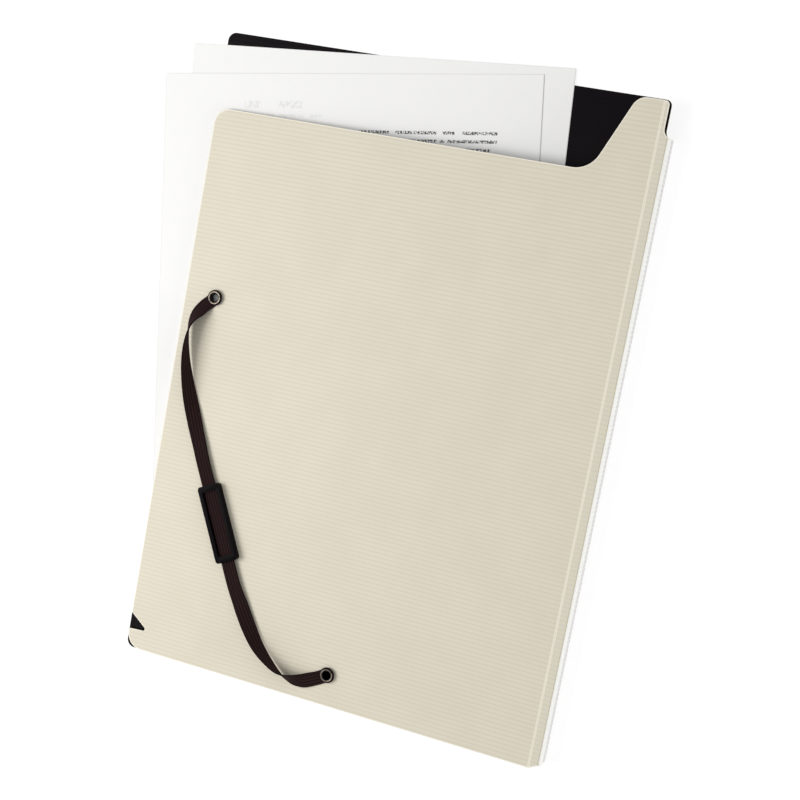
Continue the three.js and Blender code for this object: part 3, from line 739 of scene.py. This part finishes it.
def turned(name, profile, middle, material, count=96):
    """A closed profile of (radius, height), listed with the metal on its left, turned about an upright."""
    angle = np.linspace(0, 2 * np.pi, count, endpoint=False)[:, None]
    radius, height = np.array(profile).T
    points = np.stack([middle[0] + radius * np.cos(angle), middle[1] + radius * np.sin(angle),
                       np.broadcast_to(height, (count, len(height)))], -1).reshape(-1, 3)
    first = np.arange(count * len(profile)).reshape(count, -1)
    beyond = np.roll(first, -1, 0)
    faces = np.stack([first, beyond, np.roll(beyond, -1, 1), np.roll(first, -1, 1)], -1).reshape(-1, 4)
    ring = make_object(name, on_cover(points), faces.tolist(), materials=(material,))
    store(ring, "ring", "FLOAT", np.tile(radius, count))
    smooth(ring, 40)
    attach(ring, "cover")
    return ring


def half_round(start, end, height, count=18):
    """Half an ellipse from one radius to another, standing on a level line, as (radius, height over it)."""
    angle = np.pi * np.linspace(0, 1, count)
    return np.stack([(start + end) / 2 + (start - end) / 2 * np.cos(angle), height * np.sin(angle)], -1)


def gunmetal_material():
    """Gunmetal plating on brass: dark and fairly polished, with a thin tan ring painted on the crown as its
    highlight, broken into patches."""
    material, tree = new_material("gunmetal plated brass")
    radius = add_node(tree, "Attribute", {"attribute_name": "ring"}).outputs["Fac"]
    place = add_node(tree, "TexCoord").outputs["Object"]
    patch_scale = 1 / (HIGHLIGHT_PATCH["size"] * MM)
    patches = add_node(tree, "TexNoise", links={"Vector": place, "Scale": patch_scale, "Detail": 3.0})
    # Painted highlight: a tan ring on the crown, broken into patches.
    crown_highlight = fade(tree, 1.0, (radius, CROWN_HIGHLIGHT["from"], CROWN_HIGHLIGHT["full"]),
                (radius, CROWN_HIGHLIGHT["to"], CROWN_HIGHLIGHT["fading"]),
                (patches.outputs["Fac"], HIGHLIGHT_PATCH["from"], HIGHLIGHT_PATCH["to"]))
    finish_surface(tree, {"Base Color": paint(tree, "#1a1617", (crown_highlight, "#776e63")), "Metallic": 1.0,
                          "Roughness": 0.32})
    return material


gunmetal = gunmetal_material()
flange_under = STRAP_MIDDLE + STRAP["thickness"] / 2 + STRAP["seat"]
washer_top = -SHEET - WASHER["gap"]
washer_under = washer_top - WASHER["thickness"]
curl_top = washer_under - WASHER["gap"]
barrel = EYELET["bore"] + EYELET["wall"]
flange_curve = half_round(EYELET["flange"], EYELET["bore"], EYELET["dome"]) + [0, flange_under]
curl_curve = half_round(EYELET["bore"], EYELET["curl"], -EYELET["curl height"], 12) + [0, curl_top]
eyelet_profile = [*flange_curve.tolist(), *curl_curve.tolist(), [barrel, curl_top], [barrel, flange_under]]
washer_profile = [[PUNCHED_RADIUS, washer_under],
                  [WASHER["radius"] - WASHER["edge"], washer_under],
                  [WASHER["radius"], washer_under + WASHER["edge"]],
                  [WASHER["radius"], washer_top - WASHER["edge"]],
                  [WASHER["radius"] - WASHER["edge"], washer_top],
                  [PUNCHED_RADIUS, washer_top]]
for place, middle in EYELETS.items():
    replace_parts(turned(f"eyelet_{place}_rivet", eyelet_profile, middle, gunmetal), f"eyelet_{place}")
    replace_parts(turned(f"washer_{place}_ring", washer_profile, middle, gunmetal), f"washer_{place}")

# Slider. A frame moulded in black acetal, with the strap threaded through a flat slot and under a bar at each
# end. Its upper edges are well rounded and polished by the mould. Pushed along the strap, it tightens it.
FRAME = {"end bar": 3.4, "rear bar": 5.0, "rail lip": 2.35, "width": 13.3, "roof": 0.9, "floor": 0.85,
         "corner": 1.8, "edge": 0.45, "window corner": 1.2}
SLOT_CLEARANCE = {"side": 0.35, "face": 0.3}
SLOT_PAST_END = 2.0
CUT_PAST = 1.0
PEEL = {"size": 0.5, "height": 0.03, "strength": 0.15}
ACETAL_IOR = 1.48


def rectangle(length, width, radius):
    """Outline of a rectangle round the origin, with rounded corners."""
    x, y = length / 2, width / 2
    return arc_corners([(-x, -y, radius), (x, -y, radius), (x, y, radius), (-x, y, radius)], 6)


def slider_material():
    """Acetal moulded in a lightly spark-eroded tool: black, satin, its gloss softened by an orange peel."""
    material, tree = new_material("moulded acetal, black")
    place = add_node(tree, "TexCoord").outputs["Object"]
    peel_scale = 1 / (PEEL["size"] * MM)
    peel = add_node(tree, "TexNoise", links={"Vector": place, "Scale": peel_scale, "Detail": 2.0})
    bump = add_node(tree, "Bump", links={"Height": peel.outputs["Fac"], "Strength": PEEL["strength"],
                                         "Distance": PEEL["height"] * MM})
    colour = paint(tree, "#060405", (peel.outputs["Fac"], "#0b080a"))
    finish_surface(tree, {"Base Color": colour, "Normal": bump.outputs[0], "Roughness": 0.3,
                          "IOR": ACETAL_IOR, "Specular IOR Level": 0.03})
    return material


def slider_frame():
    """Rounded block with a slot along it for the strap, a window through its top and a wider one through its
    foot. Its edges are rounded off, and it is turned to the strap's straight run."""
    slot_half = STRAP["thickness"] / 2 + SLOT_CLEARANCE["face"]
    slot_width = STRAP["width"] + 2 * SLOT_CLEARANCE["side"]
    top, foot = slot_half + FRAME["roof"], -slot_half - FRAME["floor"]
    outline = rectangle(SLIDER["length"], FRAME["width"], FRAME["corner"])
    block = make_object("strap_slider_frame", *prism(outline, foot, top), materials=(slider_material(),))
    slot = rectangle(SLIDER["length"] + 2 * SLOT_PAST_END, slot_width, 0)
    window = rectangle(SLIDER["length"] - 2 * FRAME["end bar"], FRAME["width"] - 2 * FRAME["rail lip"],
                       FRAME["window corner"])
    rear_window = rectangle(SLIDER["length"] - 2 * FRAME["rear bar"], slot_width, FRAME["window corner"])
    cut(block, slot, "DIFFERENCE", low=-slot_half, high=slot_half)
    cut(block, window, "DIFFERENCE", low=0, high=top + CUT_PAST)
    cut(block, rear_window, "DIFFERENCE", low=foot - CUT_PAST, high=0)
    rounding = block.modifiers.new("moulded edges", "BEVEL")
    rounding.width = FRAME["edge"] * MM
    rounding.segments = 4
    rounding.limit_method = "ANGLE"
    rounding.angle_limit = np.radians(40)
    finish_modifiers(block)
    angle = np.radians(SLIDER["turn"])
    x, y, z = read_points(block).T
    placed = np.stack([SLIDER["x"] + x * np.cos(angle) - y * np.sin(angle),
                       SLIDER["y"] + x * np.sin(angle) + y * np.cos(angle), z + SLIDER["lift"]], -1)
    write_points(block, on_cover(placed))
    smooth(block, 40)
    return block


slider = slider_frame()
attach(slider, "slider")
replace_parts(slider, "strap_slider")

# Studio. A white floor that keeps the folder's shadow, two soft lamps, and a camera where the photograph was
# taken, above the folder and to its right.
CAMERA = {"place": np.array([228.64, 85.21, 721.39]), "turn": (-3.863, 16.699, 11.057), "lens": 64.203,
          "sensor": 36, "near": 10.0}
FLOOR = {"size": 8000.0, "drop": 0.15, "glow": 1.16, "shadow": 0.3, "colour": "#f2f2f2"}
AMBIENT = 0.54
LAMPS = {
    "key": {"place": (-720.0, -120.0, 760.0), "aim": (0, 0, 0), "size": 620, "power": 7.3},
    "spine side": {"place": (1100.0, -100.0, 180.0), "aim": (140, 0, 5), "size": 300, "power": 3},
}


def seen_directly(tree):
    """1 for a ray from the camera, a mirror-like reflection or a clear surface, and 0 for all others."""
    path = add_node(tree, "LightPath").outputs
    seen = path["Is Camera Ray"]
    for ray in ("Is Glossy Ray", "Is Transmission Ray"):
        seen = add_node(tree, "Math", {"operation": "MAXIMUM"}, {0: seen, 1: path[ray]}).outputs[0]
    return seen


def floor_material():
    """White studio paper. The camera sees it nearly pure white, with a share of its true shading."""
    material, tree = new_material("studio floor")
    matt = add_node(tree, "BsdfDiffuse", links={"Color": linear(FLOOR["colour"])})
    glow = add_node(tree, "Emission", links={"Color": linear("#ffffff"), "Strength": FLOOR["glow"]})
    share = add_node(tree, "Math", {"operation": "MULTIPLY"},
                     {0: seen_directly(tree), 1: 1 - FLOOR["shadow"]})
    mix = add_node(tree, "MixShader", links={0: share.outputs[0], 1: matt.outputs[0], 2: glow.outputs[0]})
    add_node(tree, "OutputMaterial", links={0: mix.outputs[0]})
    return material


def soft_lamp(name, place, aim, size, power):
    """A square soft box at a place, turned to face a point."""
    lamp = bpy.data.lights.new(name, "AREA")
    lamp.size = size * MM
    lamp.energy = power
    box = bpy.data.objects.new(name, lamp)
    away = unit(np.subtract(place, aim))
    side = unit(np.cross([0.0, 1.0, 0.0], away))
    turned_to = np.stack([side, np.cross(away, side), away, np.multiply(place, MM)], -1)
    box.matrix_world = Matrix([*turned_to.tolist(), [0, 0, 0, 1]])
    bpy.context.scene.collection.objects.link(box)


floor_corners = FLOOR["size"] / 2 * np.array([[-1, -1, 0], [1, -1, 0], [1, 1, 0], [-1, 1, 0]])
floor_points = floor_corners - [0, 0, FLOOR["drop"]]
floor = make_object("floor", floor_points, [[0, 1, 2, 3]], materials=(floor_material(),))

world = bpy.data.worlds.new("studio")
bpy.context.scene.world = world
world.use_nodes = True
sky_tree = world.node_tree
sky_tree.nodes.clear()
sky_strength = add_node(sky_tree, "Math", {"operation": "MULTIPLY_ADD"},
                        {0: seen_directly(sky_tree), 1: 1 - AMBIENT, 2: AMBIENT})
white_sky = {"Color": linear("#ffffff"), "Strength": sky_strength.outputs[0]}
sky = add_node(sky_tree, "Background", links=white_sky)
add_node(sky_tree, "OutputWorld", links={0: sky.outputs[0]})
for name, lamp in LAMPS.items():
    soft_lamp(name, **lamp)

camera = bpy.data.objects.new("camera", bpy.data.cameras.new("camera"))
camera.location = CAMERA["place"] * MM
camera.rotation_euler = np.radians(CAMERA["turn"])
camera.data.sensor_width = CAMERA["sensor"]
camera.data.lens = CAMERA["lens"]
camera.data.clip_start = CAMERA["near"] * MM
bpy.context.scene.collection.objects.link(camera)
bpy.context.scene.camera = camera
bpy.context.scene.view_settings.view_transform = "Standard"
